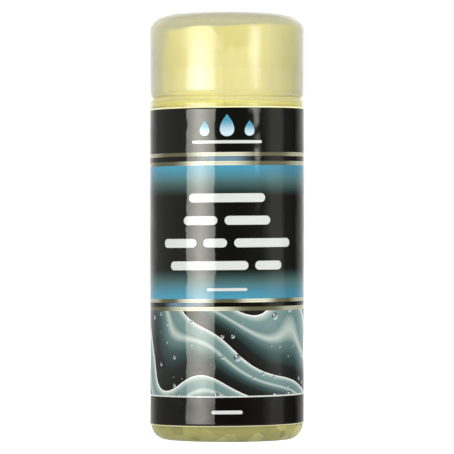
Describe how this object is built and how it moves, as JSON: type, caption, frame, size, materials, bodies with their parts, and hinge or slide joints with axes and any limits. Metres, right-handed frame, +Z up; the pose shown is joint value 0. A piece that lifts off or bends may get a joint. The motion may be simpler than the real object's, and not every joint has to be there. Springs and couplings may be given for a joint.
{
  "type": "chamois leather in a storage tube",
  "caption": "Upright round tube of frosted plastic with a push-on cap and a wrapped label, holding a folded and rolled yellow chamois.",
  "frame": {"origin": "centre of the foot, on the surface that the tube stands on", "axes": "+Z up along the tube's axis towards the cap, -Y towards the front of the label, +X to the right of the front"},
  "size_m": [0.0652, 0.0655, 0.18],
  "materials": {
    "frosted_plastic": "satin",
    "printed_film": "gloss",
    "chamois": "matte"
  },
  "bodies": {
    "tube": {"tube_body": "frosted_plastic", "wrap_label": "printed_film"},
    "chamois": {"chamois_roll": "chamois"},
    "cap": {"push_on_cap": "frosted_plastic"}
  },
  "joints": [
    {"name": "chamois_draw_out", "type": "slide", "parent": "tube", "child": "chamois", "axis": [0, 0, 1], "range_m": [0, 0.17]},
    {"name": "cap_pull_off", "type": "slide", "parent": "chamois", "child": "cap", "axis": [0, 0, 1], "range_m": [0, 0.06]}
  ]
}
